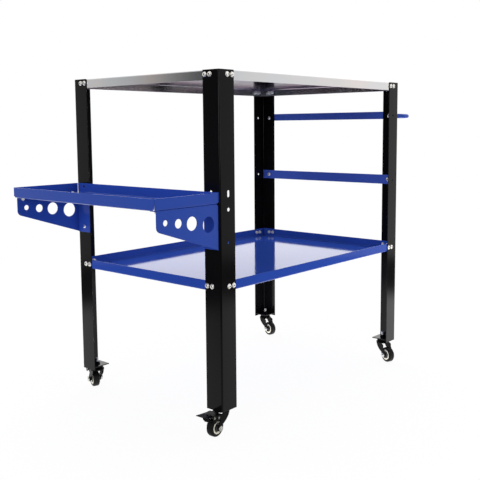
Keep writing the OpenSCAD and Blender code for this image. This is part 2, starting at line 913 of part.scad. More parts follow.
module brake_pedal(corner) {
    ear_in = fork_out + side_gap;
    ear_out = ear_in + pedal_t;
    rib_r = 1.2;
    rib_step = 7;
    rib_in = 5;
    tab = [5, 12, 8];
    color(fork_black)
        at_caster(corner) {
            upright(ear_in, ear_out) ear_outline();
            upright(-ear_out, -ear_in) ear_outline();
            upright(-ear_out, ear_out) tread_outline();
            upright(-ear_in, ear_in) translate(shoe) circle(shoe_r);
            translate([pedal_reach - tab[0], ear_out - tab[1], tread_y(pedal_reach) - tab[2]])
                cube(tab);
            for (i = [0 : 3])
                upright(-ear_out + 4, ear_out - 4) {
                    rib_x = pedal_reach - rib_in - i * rib_step;
                    translate([rib_x, tread_y(rib_x) + pedal_t - 0.4]) circle(rib_r);
                }
        }
}

// Pin with round heads, through both sides at a place of the fork's plane
pin_head = [3, 1.5];
module pin(at, out) {
    translate([at[0], out, at[1]])
        rotate([90, 0, 0]) {
            cylinder(d = pin_d, h = 2 * out);
            translate([0, 0, -pin_head[1]]) cylinder(d = pin_d + pin_head[0], h = pin_head[1]);
            translate([0, 0, 2 * out]) cylinder(d = pin_d + pin_head[0], h = pin_head[1]);
        }
}

// Pivot pin of the pedal, which the fork holds, with its heads clear of the ears
module brake_pins(corner) {
    color(bright_zinc) at_caster(corner) pin(pivot, fork_out + side_gap + pedal_t + side_gap);
}

// Rivet through both ears of the pedal
module brake_rivets(corner) {
    color(bright_zinc) at_caster(corner) pin(rivet, fork_out + side_gap + pedal_t);
}

color(leg_black) leg(FRONT_LEFT, true);  // leg_front_left
color(leg_black) leg(REAR_LEFT, true);  // leg_rear_left
color(leg_black) leg(FRONT_RIGHT, false);  // leg_front_right
color(leg_black) leg(REAR_RIGHT, false);  // leg_rear_right
table_top();
lower_shelf();
side_tray();
tray_bracket(FRONT_LEFT);  // tray_bracket_front
tray_bracket(REAR_LEFT);  // tray_bracket_rear
bracket_flange_pair(FRONT_LEFT);  // bracket_flanges_front
bracket_flange_pair(REAR_LEFT);  // bracket_flanges_rear
upper_rail();
lower_rail();
push_handle();
top_bolts();
top_nuts();
shelf_bolts();
shelf_nuts();
tray_bolts();
tray_nuts();
rail_bolts();
rail_nuts();
caster_plates();
stem_nuts();
caster_head(FRONT_LEFT);  // caster_head_front_left
caster_head(REAR_LEFT);  // caster_head_rear_left
caster_head(FRONT_RIGHT);  // caster_head_front_right
caster_head(REAR_RIGHT);  // caster_head_rear_right
fork(FRONT_LEFT, true);  // fork_front_left
fork(REAR_LEFT, true);  // fork_rear_left
fork(FRONT_RIGHT, false);  // fork_front_right
fork(REAR_RIGHT, false);  // fork_rear_right
axle(FRONT_LEFT);  // axle_front_left
axle(REAR_LEFT);  // axle_rear_left
axle(FRONT_RIGHT);  // axle_front_right
axle(REAR_RIGHT);  // axle_rear_right
tyre(FRONT_LEFT);  // tyre_front_left
tyre(REAR_LEFT);  // tyre_rear_left
tyre(FRONT_RIGHT);  // tyre_front_right
tyre(REAR_RIGHT);  // tyre_rear_right
hub(FRONT_LEFT);  // hub_front_left
hub(REAR_LEFT);  // hub_rear_left
hub(FRONT_RIGHT);  // hub_front_right
hub(REAR_RIGHT);  // hub_rear_right
hub_caps(FRONT_LEFT);  // hub_caps_front_left
hub_caps(REAR_LEFT);  // hub_caps_rear_left
hub_caps(FRONT_RIGHT);  // hub_caps_front_right
hub_caps(REAR_RIGHT);  // hub_caps_rear_right
brake_pedal(FRONT_LEFT);  // brake_pedal_front_left
brake_pedal(REAR_LEFT);  // brake_pedal_rear_left
brake_pins(FRONT_LEFT);  // brake_pins_front_left
brake_pins(REAR_LEFT);  // brake_pins_rear_left
brake_rivets(FRONT_LEFT);  // brake_rivets_front_left
brake_rivets(REAR_LEFT);  // brake_rivets_rear_left
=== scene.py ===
# %% [markdown]
# A mobile welding table, dressed for its picture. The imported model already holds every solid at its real
# size. This lesson rounds their sheet edges, models bolts, nuts and welds in more detail, and gives each
# finish its own material.

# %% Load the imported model
import json
import math

import bpy
from mathutils import Matrix, Vector


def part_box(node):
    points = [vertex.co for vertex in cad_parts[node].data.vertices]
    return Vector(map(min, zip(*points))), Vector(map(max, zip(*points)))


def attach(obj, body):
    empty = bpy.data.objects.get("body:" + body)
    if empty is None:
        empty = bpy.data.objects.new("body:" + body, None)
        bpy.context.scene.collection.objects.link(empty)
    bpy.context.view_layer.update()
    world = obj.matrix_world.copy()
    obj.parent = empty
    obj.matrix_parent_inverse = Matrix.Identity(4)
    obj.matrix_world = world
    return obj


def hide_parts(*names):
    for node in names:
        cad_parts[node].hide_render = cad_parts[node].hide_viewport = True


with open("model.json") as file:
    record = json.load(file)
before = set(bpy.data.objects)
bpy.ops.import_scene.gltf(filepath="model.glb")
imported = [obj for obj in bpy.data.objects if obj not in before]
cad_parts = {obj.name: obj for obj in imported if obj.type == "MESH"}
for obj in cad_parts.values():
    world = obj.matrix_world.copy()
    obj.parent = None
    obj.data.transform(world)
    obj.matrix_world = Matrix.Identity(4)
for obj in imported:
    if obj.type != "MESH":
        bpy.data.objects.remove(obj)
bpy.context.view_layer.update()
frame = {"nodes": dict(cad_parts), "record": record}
nodes = frame["nodes"]
MM = 0.001

# %% [markdown]
# The four legs give every place on the frame. The low corner of the front left leg and the high corner of
# the rear right leg are the outer corners of the frame, and the rest is measured from them. The places could
# be typed in as plain coordinates, but measured from the legs they stay right if the frame grows.

# %% Corners of the frame
x_left, y_front, leg_end_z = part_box("leg_front_left")[0]
x_right, y_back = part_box("leg_rear_right")[1][:2]
SIDES = {  # an outer corner of the frame, and the directions that lead inwards from it
    "front_left": (x_left, y_front, 1, 1),
    "rear_left": (x_left, y_back, 1, -1),
    "front_right": (x_right, y_front, -1, 1),
    "rear_right": (x_right, y_back, -1, -1),
}
print("frame length", round(x_right - x_left, 4), "width", round(y_back - y_front, 4))

# %% [markdown]
# The picture is taken from a little above mid height, with the nearest leg almost in the middle. The place,
# the turn and the lens were found from the corners of the frame. The window is shifted a little instead of
# tipping the camera further, because the photograph was cropped and a shift doesn't lean the legs.

# %% Camera
PHOTO_SIDE = 480  # pixels
FOCAL_LENGTH = 746.76  # pixels
AXIS_U, AXIS_V = 245.98, 209.80  # the pixel that the lens points at
SENSOR = 36  # millimetres
EYE = (-1.4179, -1.3223, 0.7621)  # metres from the low corner of the front left leg
turn = math.radians(41.012)
tip = math.radians(-6.253)
lean = math.radians(-0.428)
camera_data = bpy.data.cameras.new("camera")
camera = bpy.data.objects.new("camera", camera_data)
bpy.context.scene.collection.objects.link(camera)
bpy.context.scene.camera = camera
forward = Vector((math.cos(tip) * math.cos(turn), math.cos(tip) * math.sin(turn), math.sin(tip)))
right = Vector((math.sin(turn), -math.cos(turn), 0))
up = right.cross(forward)
leaned_right = right * math.cos(lean) + up * math.sin(lean)
leaned_up = up * math.cos(lean) - right * math.sin(lean)
eye_place = Matrix.Translation(Vector((x_left + EYE[0], y_front + EYE[1], leg_end_z + EYE[2])))
camera.matrix_world = eye_place @ Matrix((leaned_right, leaned_up, -forward)).transposed().to_4x4()
camera_data.sensor_width = SENSOR
camera_data.lens = SENSOR * FOCAL_LENGTH / PHOTO_SIDE
camera_data.shift_x = (PHOTO_SIDE / 2 - AXIS_U) / PHOTO_SIDE
camera_data.shift_y = (AXIS_V - PHOTO_SIDE / 2) / PHOTO_SIDE
camera_data.clip_start = 0.05
camera_data.clip_end = 100
print("camera at", [round(v, 3) for v in camera.location])

# %% [markdown]
# Shader trees are built from nodes and links. They could be drawn by hand in the node editor, but a script
# has to name each one. Small helpers keep that short: one adds a node with its settings and its input values,
# one links two nodes, and two lay a ramp with its stops, in colour or in grey.

# %% Node helpers
def node(tree, kind, place, inputs=None, **settings):
    """Adds a node, with its settings and the values of the input sockets that inputs names."""
    made = tree.nodes.new(kind)
    made.location = place
    for key, value in settings.items():
        setattr(made, key, value)
    for socket, value in (inputs or {}).items():
        made.inputs[socket].default_value = value
    return made


def wire(source, output, target, socket):
    """Links an output of one node to an input of another node in the same tree."""
    source.id_data.links.new(source.outputs[output], target.inputs[socket])


def colour_ramp(tree, place, stops):
    """A ramp with its stops given as (position, (red, green, blue))."""
    ramp = node(tree, "ShaderNodeValToRGB", place)
    elements = ramp.color_ramp.elements
    while len(elements) < len(stops):
        elements.new(0.5)
    for element, (position, colour) in zip(elements, stops):
        element.position = position
        element.color = (*colour, 1)
    return ramp


def grey_ramp(tree, place, stops):
    return colour_ramp(tree, place, [(position, (value, value, value)) for position, value in stops])


WHITE = (1, 1, 1, 1)
print("node helpers: node, wire, colour_ramp and grey_ramp")

# %% [markdown]
# Studio light. Glossy paint and zinc show what stands round them, so the room matters more than the lamps.
# A bright backdrop stands behind the table and fades out to both sides of the camera. A picture of a real
# studio could be wrapped round the scene, but two ramps are enough and need no file: one runs over the
# direction away from the camera and holds the fade, and the other adds the soft light overhead.

# %% World: backdrop and overhead light
BACKDROP = [(0.44, 0.02), (0.466, 0.04), (0.486, 0.19), (0.505, 0.29), (0.57, 0.44), (0.66, 0.51), (1.0, 1.0)]
OVERHEAD = [(0.35, 0.0), (0.75, 0.45)]
ROOM_STRENGTH = 2.0
away = (math.cos(turn), math.sin(turn), 0)
world = bpy.data.worlds.new("studio")
bpy.context.scene.world = world
world.use_nodes = True
wt = world.node_tree
wt.nodes.clear()
direction = node(wt, "ShaderNodeTexCoord", (-1400, 0))
level = node(wt, "ShaderNodeVectorMath", (-1200, 300), {1: (1, 1, 0)}, operation="MULTIPLY")
wire(direction, "Generated", level, 0)
along = node(wt, "ShaderNodeVectorMath", (-1050, 300), operation="NORMALIZE")
wire(level, 0, along, 0)
behind = node(wt, "ShaderNodeVectorMath", (-900, 200), {1: away}, operation="DOT_PRODUCT")
wire(along, 0, behind, 0)
half = node(wt, "ShaderNodeMath", (-750, 200), {1: 0.5, 2: 0.5}, operation="MULTIPLY_ADD")
wire(behind, "Value", half, 0)
backdrop = grey_ramp(wt, (-600, 200), BACKDROP)
wire(half, 0, backdrop, "Fac")
height = node(wt, "ShaderNodeSeparateXYZ", (-1200, -100))
wire(direction, "Generated", height, 0)
overhead = grey_ramp(wt, (-600, -100), OVERHEAD)
wire(height, "Z", overhead, "Fac")
brighter = node(wt, "ShaderNodeMath", (-300, 100), operation="MAXIMUM")
wire(backdrop, "Color", brighter, 0)
wire(overhead, "Color", brighter, 1)
strength = node(wt, "ShaderNodeMath", (-150, 100), {1: ROOM_STRENGTH}, operation="MULTIPLY")
wire(brighter, 0, strength, 0)
print("world nodes for the room:", len(wt.nodes))

# %% [markdown]
# The photograph has a plain white ground, so the camera itself doesn't see the room but white. A Light Path
# node tells its rays from those that light and mirror the table.

# %% World: what the camera sees
WARM_WHITE = (1.0, 0.985, 0.965, 1)
studio = node(wt, "ShaderNodeBackground", (0, 100), {"Color": WARM_WHITE})
wire(strength, 0, studio, "Strength")
white = node(wt, "ShaderNodeBackground", (0, -100), {"Color": WHITE})
seen = node(wt, "ShaderNodeLightPath", (0, 400))
choose = node(wt, "ShaderNodeMixShader", (200, 0))
wire(seen, "Is Camera Ray", choose, 0)
wire(studio, 0, choose, 1)
wire(white, 0, choose, 2)
world_out = node(wt, "ShaderNodeOutputWorld", (400, 0))
wire(choose, 0, world_out, "Surface")
bpy.context.scene.view_settings.view_transform = "Standard"
print("world nodes:", len(wt.nodes))

# %% [markdown]
# Two large soft boxes stand beside the camera, low enough to reach the rails and the far shelf wall under the
# worktop. They are weak, as the room does most of the lighting, but they give bolts and folds their form.

# %% Soft boxes
def soft_box(name, place, aim_at, size, watts):
    data = bpy.data.lights.new(name, "AREA")
    data.shape = "SQUARE"
    data.size = size
    data.energy = watts
    box = bpy.data.objects.new(name, data)
    bpy.context.scene.collection.objects.link(box)
    box.location = place
    box.rotation_mode = "QUATERNION"
    box.rotation_quaternion = (Vector(aim_at) - Vector(place)).to_track_quat("-Z", "Y")
    print(name, watts, "W")


TABLE_MIDDLE = (0.05, 0.0, 0.5)
BOX_SIZE = 2.8
soft_box("soft_box_left", (-5.6, -1.5, 1.8), TABLE_MIDDLE, BOX_SIZE, watts=118)
soft_box("soft_box_right", (1.4, -5.6, 1.8), TABLE_MIDDLE, BOX_SIZE, watts=85)

# %% [markdown]
# The floor is a white sheet under the table. A plane would do, but a round one has no corner that the gloss
# of the legs could show. It isn't part of the object.

# %% Floor: sheet
FLOOR_RADIUS = 2.75


def deselect_all():
    bpy.ops.object.select_all(action="DESELECT")


deselect_all()
bpy.ops.mesh.primitive_circle_add(vertices=96, radius=FLOOR_RADIUS, fill_type="NGON", location=(0, 0, 0))
floor = bpy.context.object
floor.name = "floor"
floor_paint = bpy.data.materials.new("floor_paint")
floor_paint.use_nodes = True
floor.data.materials.append(floor_paint)
print("floor radius", FLOOR_RADIUS, "m")

# %% [markdown]
# In the gloss of the legs the floor shows as a bright pool that ends about 1.6 m out, with a darker ring
# beyond it. Lamps could draw that pool, but they would also light the table, so the part of the floor's
# material that only other surfaces see follows the distance from the middle, and grows brighter away from
# the camera.

# %% Floor: bright pool
ft = floor_paint.node_tree
ft.nodes.clear()
floor_place = node(ft, "ShaderNodeTexCoord", (-1100, 0))
distance = node(ft, "ShaderNodeVectorMath", (-900, 100), operation="LENGTH")
wire(floor_place, "Object", distance, 0)
pool_ends = {"From Min": 1.45, "From Max": 1.85, "To Min": 1.0, "To Max": 0.03}
pool = node(ft, "ShaderNodeMapRange", (-700, 100), pool_ends, interpolation_type="SMOOTHSTEP")
wire(distance, "Value", pool, "Value")
backwards = node(ft, "ShaderNodeVectorMath", (-900, -100), {1: away}, operation="DOT_PRODUCT")
wire(floor_place, "Object", backwards, 0)
glow_range = {"From Min": -0.8, "From Max": 0.5, "To Min": 0.45, "To Max": 2.6}
glow = node(ft, "ShaderNodeMapRange", (-700, -100), glow_range)
wire(backwards, "Value", glow, "Value")
pool_glow = node(ft, "ShaderNodeMath", (-500, 0), operation="MULTIPLY")
wire(pool, 0, pool_glow, 0)
wire(glow, 0, pool_glow, 1)
mirrored = node(ft, "ShaderNodeEmission", (-300, 0))
wire(pool_glow, 0, mirrored, "Strength")
print("floor nodes for the pool:", len(ft.nodes))

# %% [markdown]
# The camera sees the floor as plain white, with a small share of a matt sheet that takes soft contact
# shadows. A fully matt floor would be grey in places, and a fully white one would let the table float.

# %% Floor: what the camera sees
SHADOW_SHARE = 0.06
floor_white = node(ft, "ShaderNodeEmission", (-500, -300))
floor_sheet = node(ft, "ShaderNodeBsdfDiffuse", (-500, -450), {"Color": (0.95, 0.95, 0.95, 1)})
floor_seen = node(ft, "ShaderNodeMixShader", (-300, -300), {0: SHADOW_SHARE})
wire(floor_white, 0, floor_seen, 1)
wire(floor_sheet, 0, floor_seen, 2)
floor_rays = node(ft, "ShaderNodeLightPath", (-300, 300))
floor_mix = node(ft, "ShaderNodeMixShader", (-100, 0))
wire(floor_rays, "Is Camera Ray", floor_mix, 0)
wire(mirrored, 0, floor_mix, 1)
wire(floor_seen, 0, floor_mix, 2)
floor_out = node(ft, "ShaderNodeOutputMaterial", (100, 0))
wire(floor_mix, 0, floor_out, "Surface")
print("floor nodes:", len(ft.nodes))

# %% [markdown]
# Powder coat and zinc both have a fine surface that a flat colour lacks. Each material could have its own
# noise, but one group does it for all: it gives a slow change of tone and a fine ripple, both from the Object
# coordinates, and each finish uses it with its own values.

# %% Group: sprayed surface
def new_group(name, inputs, outputs):
    group = bpy.data.node_groups.new(name, "ShaderNodeTree")
    for label, kind, value in inputs:
        group.interface.new_socket(label, in_out="INPUT", socket_type=kind).default_value = value
    for label, kind in outputs:
        group.interface.new_socket(label, in_out="OUTPUT", socket_type=kind)
    return group


COLOUR_SOCKET, NUMBER_SOCKET = "NodeSocketColor", "NodeSocketFloat"
sprayed = new_group(
    "sprayed_surface",
    [("Colour", COLOUR_SOCKET, (0.5, 0.5, 0.5, 1)), ("Shade", COLOUR_SOCKET, (0.4, 0.4, 0.4, 1)),
     ("Patch Scale", NUMBER_SOCKET, 9.0), ("Ripple Scale", NUMBER_SOCKET, 420.0),
     ("Rough Low", NUMBER_SOCKET, 0.2), ("Rough High", NUMBER_SOCKET, 0.3)],
    [("Colour", COLOUR_SOCKET), ("Roughness", NUMBER_SOCKET), ("Ripple", NUMBER_SOCKET)],
)
g_in = node(sprayed, "NodeGroupInput", (-900, 0))
g_place = node(sprayed, "ShaderNodeTexCoord", (-900, 300))
g_patch = node(sprayed, "ShaderNodeTexNoise", (-600, 200), {"Detail": 3})
wire(g_place, "Object", g_patch, "Vector")
wire(g_in, "Patch Scale", g_patch, "Scale")
g_ripple = node(sprayed, "ShaderNodeTexNoise", (-600, -100), {"Detail": 1.5})
wire(g_place, "Object", g_ripple, "Vector")
wire(g_in, "Ripple Scale", g_ripple, "Scale")
g_tone = node(sprayed, "ShaderNodeMix", (-300, 200), data_type="RGBA")
wire(g_patch, "Fac", g_tone, "Factor")
wire(g_in, "Colour", g_tone, "A")
wire(g_in, "Shade", g_tone, "B")
g_rough = node(sprayed, "ShaderNodeMapRange", (-300, -100))
wire(g_patch, "Fac", g_rough, "Value")
wire(g_in, "Rough Low", g_rough, "To Min")
wire(g_in, "Rough High", g_rough, "To Max")
g_out = node(sprayed, "NodeGroupOutput", (0, 0))
wire(g_tone, "Result", g_out, "Colour")
wire(g_rough, 0, g_out, "Roughness")
wire(g_ripple, "Fac", g_out, "Ripple")
print("group nodes:", len(sprayed.nodes))

# %% [markdown]
# The legs are powder coated black, the tray, shelf and brackets blue, and the forks a satin black. The flat
# rails take a paler copy of the blue, which is painted light that brightens them in the shade under the
# worktop.
# The tyres are rubber, the hubs a cream plastic and the screws zinc plated. All of them use the group above,
# and each has its own gloss: the refraction index is kept low because the coats mirror only at a flat angle.

# %% Sprayed paints
RIPPLE_DEPTH = 0.2 * MM


def sprayed_finish(name, colour, shade, rough, ripple,
                   patch_scale=9.0, ripple_scale=420.0, metallic=0.0, ior=1.45):
    """A material that drifts from colour to shade and between two roughnesses, under a fine ripple."""
    paint = bpy.data.materials.new(name)
    paint.use_nodes = True
    tree = paint.node_tree
    shader = tree.nodes["Principled BSDF"]
    looks = {"Colour": (*colour, 1), "Shade": (*shade, 1), "Patch Scale": patch_scale,
             "Ripple Scale": ripple_scale, "Rough Low": rough[0], "Rough High": rough[1]}
    surface = node(tree, "ShaderNodeGroup", (-600, 0), looks, node_tree=sprayed)
    bump = node(tree, "ShaderNodeBump", (-300, -250), {"Strength": ripple, "Distance": RIPPLE_DEPTH})
    wire(surface, "Colour", shader, "Base Color")
    wire(surface, "Roughness", shader, "Roughness")
    wire(surface, "Ripple", bump, "Height")
    wire(bump, "Normal", shader, "Normal")
    shader.inputs["IOR"].default_value = ior
    shader.inputs["Metallic"].default_value = metallic
    return paint


blue_paint = sprayed_finish("blue_paint", colour=(0.031, 0.085, 0.475), shade=(0.026, 0.076, 0.435),
                            rough=(0.06, 0.10), ripple=0.015, ior=1.24)
# Painted light: a paler copy of the blue that brightens the rails in the shade under the worktop.
rail_painted_light = sprayed_finish("rail_painted_light", colour=(0.068, 0.130, 0.600), shade=(0.062, 0.122, 0.560),
                            rough=(0.06, 0.10), ripple=0.015, ior=1.24)
leg_paint = sprayed_finish("leg_paint", colour=(0.0040, 0.0036, 0.0044), shade=(0.0050, 0.0046, 0.0052),
                           rough=(0.10, 0.16), ripple=0.06, ior=1.22)
fork_paint = sprayed_finish("fork_paint", colour=(0.002, 0.002, 0.0022), shade=(0.004, 0.004, 0.0043),
                            rough=(0.34, 0.46), ripple=0.10, ior=1.12)
tyre_rubber = sprayed_finish("tyre_rubber", colour=(0.005, 0.005, 0.005), shade=(0.008, 0.008, 0.008),
                             rough=(0.42, 0.56), ripple=0.25, patch_scale=60, ripple_scale=1400, ior=1.18)
print("paints:", [finish.name for finish in (blue_paint, rail_painted_light, leg_paint, fork_paint, tyre_rubber)])

# %% [markdown]
# The wheel plastics and the small zinc plated parts are close to the paints in build, but their patches are
# smaller than a bolt head. Zinc is a metal. It is bright on the bolts and greyer on the stems and axles. The
# pins and rivets of the brakes take a darker copy of the zinc, which is painted shade for the shade of the
# forks, and the sockets of the bolts a near black one, which is painted shade in their recess.

# %% Plastics and plated parts
PLATED = {"ripple_scale": 1600}  # finer than the ripple of a paint
hub_plastic = sprayed_finish("hub_plastic", colour=(0.76, 0.72, 0.61), shade=(0.68, 0.64, 0.53),
                             rough=(0.32, 0.42), ripple=0.12, patch_scale=40, ripple_scale=900)
cap_plastic = sprayed_finish("cap_plastic", colour=(0.010, 0.010, 0.011), shade=(0.018, 0.018, 0.018),
                             rough=(0.40, 0.50), ripple=0.15, patch_scale=60, ripple_scale=900)
bolt_zinc = sprayed_finish("bolt_zinc", colour=(0.98, 0.97, 0.94), shade=(0.92, 0.91, 0.87),
                           rough=(0.42, 0.52), ripple=0.06, patch_scale=160, metallic=1.0, **PLATED)
stem_zinc = sprayed_finish("stem_zinc", colour=(0.52, 0.52, 0.50), shade=(0.40, 0.40, 0.37),
                           rough=(0.30, 0.42), ripple=0.08, patch_scale=160, metallic=1.0, **PLATED)
# Painted shade: a darker copy of the zinc for the brake pins and rivets under the forks.
zinc_painted_shade = sprayed_finish("zinc_painted_shade", colour=(0.26, 0.25, 0.22), shade=(0.15, 0.145, 0.13),
                           rough=(0.30, 0.48), ripple=0.14, patch_scale=200, metallic=0.85, **PLATED)
# Painted shade: a near black zinc for the inside of the bolt sockets.
socket_painted_shade = sprayed_finish("socket_painted_shade", colour=(0.10, 0.10, 0.09), shade=(0.06, 0.058, 0.052),
                             rough=(0.45, 0.60), ripple=0.10, patch_scale=300, metallic=0.6, **PLATED)
small_finishes = (hub_plastic, cap_plastic, bolt_zinc, stem_zinc, zinc_painted_shade, socket_painted_shade)
print("small parts:", [finish.name for finish in small_finishes])

# %% [markdown]
# The worktop is bare sheet with a passivated zinc skin. It is a metal, rolled along its length, so its grain
# is a noise pulled out along x, and its skin drifts between a cool and a faint pink grey. The grain only
# changes the roughness and a very low bump, because a coloured grain would look painted on.

# %% Worktop zinc: grain and skin
worktop_zinc = bpy.data.materials.new("worktop_zinc")
worktop_zinc.use_nodes = True
zt = worktop_zinc.node_tree
zinc_shader = zt.nodes["Principled BSDF"]
zinc_shader.inputs["Metallic"].default_value = 1.0
zinc_place = node(zt, "ShaderNodeTexCoord", (-1300, 0))
stretched = node(zt, "ShaderNodeMapping", (-1100, 0), {"Scale": (3.0, 260.0, 260.0)})
wire(zinc_place, "Object", stretched, "Vector")
grain = node(zt, "ShaderNodeTexNoise", (-900, 0), {"Scale": 1.0, "Detail": 4})
wire(stretched, 0, grain, "Vector")
drift = node(zt, "ShaderNodeTexNoise", (-900, 300), {"Scale": 5.0, "Detail": 3})
wire(zinc_place, "Object", drift, "Vector")
skin = colour_ramp(zt, (-650, 300), [(0.35, (0.66, 0.69, 0.72)), (0.68, (0.74, 0.70, 0.70))])
wire(drift, "Fac", skin, "Fac")
grain_rough = node(zt, "ShaderNodeMapRange", (-650, 0), {"To Min": 0.10, "To Max": 0.16})
wire(grain, "Fac", grain_rough, "Value")
grain_bump = node(zt, "ShaderNodeBump", (-400, -250), {"Strength": 0.02, "Distance": RIPPLE_DEPTH})
wire(grain, "Fac", grain_bump, "Height")
wire(grain_bump, "Normal", zinc_shader, "Normal")
print("grain and skin nodes:", len(zt.nodes))

# %% [markdown]
# The underside keeps the purple tint of the passivation in slow clouds, is a little rougher, and is darker
# towards its middle. It is one sheet with the top, so the same material tells the sides apart by the way a
# face points. A metal seen at a flat angle mirrors nearly white whatever its colour is, so the specular tint
# is darkened with it.

# %% Worktop zinc: underside
PLAN_REACH = (1.0, 1.3, 0.0)  # measured in plan, where the width counts more than the length
UNDER_ROUGHER = 0.07
TINT_LIFT = 3.0
under = colour_ramp(zt, (-650, 600), [(0.38, (0.13, 0.12, 0.19)), (0.62, (0.38, 0.28, 0.37))])
cloud = node(zt, "ShaderNodeTexNoise", (-900, 600), {"Scale": 7.0, "Detail": 2})
wire(zinc_place, "Object", cloud, "Vector")
wire(cloud, "Fac", under, "Fac")
facing = node(zt, "ShaderNodeNewGeometry", (-1300, 900))
facing_z = node(zt, "ShaderNodeSeparateXYZ", (-1100, 900))
wire(facing, "True Normal", facing_z, 0)
faces_down = node(zt, "ShaderNodeMapRange", (-900, 900), {"From Min": -0.3, "From Max": -0.7})
wire(facing_z, "Z", faces_down, "Value")
dull_under = node(zt, "ShaderNodeMath", (-400, 150), {1: UNDER_ROUGHER}, operation="MULTIPLY_ADD")
wire(faces_down, 0, dull_under, 0)
wire(grain_rough, 0, dull_under, 2)
wire(dull_under, 0, zinc_shader, "Roughness")
from_middle = node(zt, "ShaderNodeVectorMath", (-1100, 1300), {1: PLAN_REACH}, operation="MULTIPLY")
wire(zinc_place, "Object", from_middle, 0)
reach = node(zt, "ShaderNodeVectorMath", (-950, 1300), operation="LENGTH")
wire(from_middle, 0, reach, 0)
darkening_range = {"From Min": 0.28, "From Max": 0.56, "To Min": 0.28, "To Max": 1.0}
middle_darkening = node(zt, "ShaderNodeMapRange", (-800, 1300), darkening_range, interpolation_type="SMOOTHSTEP")
wire(reach, "Value", middle_darkening, "Value")
darkened_under = node(zt, "ShaderNodeVectorMath", (-600, 1300), operation="SCALE")
wire(under, "Color", darkened_under, 0)
wire(middle_darkening, 0, darkened_under, "Scale")
lifted = node(zt, "ShaderNodeVectorMath", (-450, 1300), {"Scale": TINT_LIFT}, operation="SCALE")
wire(darkened_under, 0, lifted, 0)
edge_tint = node(zt, "ShaderNodeMix", (-250, 1300), {"A": WHITE}, data_type="RGBA")
wire(faces_down, 0, edge_tint, "Factor")
wire(lifted, 0, edge_tint, "B")
wire(edge_tint, "Result", zinc_shader, "Specular Tint")
print("nodes with the underside:", len(zt.nodes))

# %% [markdown]
# The upper face is a darker grey than the rim, as painted shade that dims its mirror of the bright room
# overhead. Two Mix nodes choose between the three sides: the first takes the underside where a face points
# down, the second the upper face.

# %% Worktop zinc: three sides
# Painted shade: the upper face's colour is multiplied darker, so that it mirrors the bright room less.
TOP_SHADE = (0.60, 0.605, 0.62, 1)
both_sides = node(zt, "ShaderNodeMix", (-400, 500), data_type="RGBA")
wire(faces_down, 0, both_sides, "Factor")
wire(skin, "Color", both_sides, "A")
wire(darkened_under, 0, both_sides, "B")
faces_up = node(zt, "ShaderNodeMapRange", (-900, 1150), {"From Min": 0.3, "From Max": 0.7})
wire(facing_z, "Z", faces_up, "Value")
top_shade_mix = {"Factor": 1.0, "B": TOP_SHADE}
top_shaded = node(zt, "ShaderNodeMix", (-550, 800), top_shade_mix, data_type="RGBA", blend_type="MULTIPLY")
wire(skin, "Color", top_shaded, "A")
all_sides = node(zt, "ShaderNodeMix", (-250, 600), data_type="RGBA")
wire(faces_up, 0, all_sides, "Factor")
wire(both_sides, "Result", all_sides, "A")
wire(top_shaded, "Result", all_sides, "B")
wire(all_sides, "Result", zinc_shader, "Base Color")
print("worktop zinc nodes:", len(zt.nodes))

# %% [markdown]
# Each solid takes the finish of its material slot in the imported record, so nothing is left bare. A few small
# parts have a finish of their own: the axles a greyer zinc, and the brake pins and rivets a darker zinc that
# is painted shade. The rails take the paler blue that is painted light. Turned parts are shaded smooth up to a
# sharp edge. They could be modelled again, but their imported shapes are right, so a Weld modifier only joins
# their triangles.

# %% Finish of every solid
FINISHES = {
    "leg_paint": leg_paint,
    "blue_paint": blue_paint,
    "worktop_zinc": worktop_zinc,
    "fastener": bolt_zinc,
    "fork_paint": fork_paint,
    "tyre": tyre_rubber,
    "hub_plastic": hub_plastic,
    "cap_plastic": cap_plastic,
}
# The brake pins and rivets take painted shade, and the rails painted light.
OWN_FINISHES = {
    "brake_pins_": zinc_painted_shade,
    "brake_rivets_": zinc_painted_shade,
    "axle_": stem_zinc,
    "upper_rail": rail_painted_light,
    "lower_rail": rail_painted_light,
}
ROUND_PARTS = ("tyre_", "hub_", "axle_", "caster_head_", "push_handle", "brake_pins_", "brake_rivets_")
MERGE_REACH = 0.01 * MM
SMOOTH_ANGLE = math.radians(32)


def make_active(piece):
    deselect_all()
    piece.select_set(True)
    bpy.context.view_layer.objects.active = piece


for part in frame["record"]["subparts"]:
    solid = nodes[part["node"]]
    finish = FINISHES[part["material_slot"]]
    for start, own_finish in OWN_FINISHES.items():
        if part["node"].startswith(start):
            finish = own_finish
    solid.data.materials.clear()
    solid.data.materials.append(finish)
    if part["node"].startswith(ROUND_PARTS):
        solid.modifiers.new("joined", "WELD").merge_threshold = MERGE_REACH
        make_active(solid)
        bpy.ops.object.shade_smooth_by_angle(angle=SMOOTH_ANGLE)

# %% [markdown]
# Round its bearing each hub has a black boss. It is part of the hub's solid, so its faces get the black
# plastic by their distance from the wheel's axis, which the record gives with the joint.

# %% Hub bosses
BOSS_REACH = 10.5 * MM
HUB_FACE, BOSS_FACE = 0, 1
for joint in frame["record"]["behaviour"]["joints"]:
    if joint["name"].startswith("wheel_spin_"):
        hub = nodes["hub_" + joint["name"][len("wheel_spin_"):]]
        hub.data.materials.append(cap_plastic)
        spin_axis = Vector(joint["axis"]).normalized()
        for face in hub.data.polygons:
            out = hub.matrix_world @ face.center - Vector(joint["pos_m"])
            out -= spin_axis * out.dot(spin_axis)
            face.material_index = BOSS_FACE if out.length < BOSS_REACH else HUB_FACE
        print(hub.name, "boss faces:", sum(face.material_index for face in hub.data.polygons))

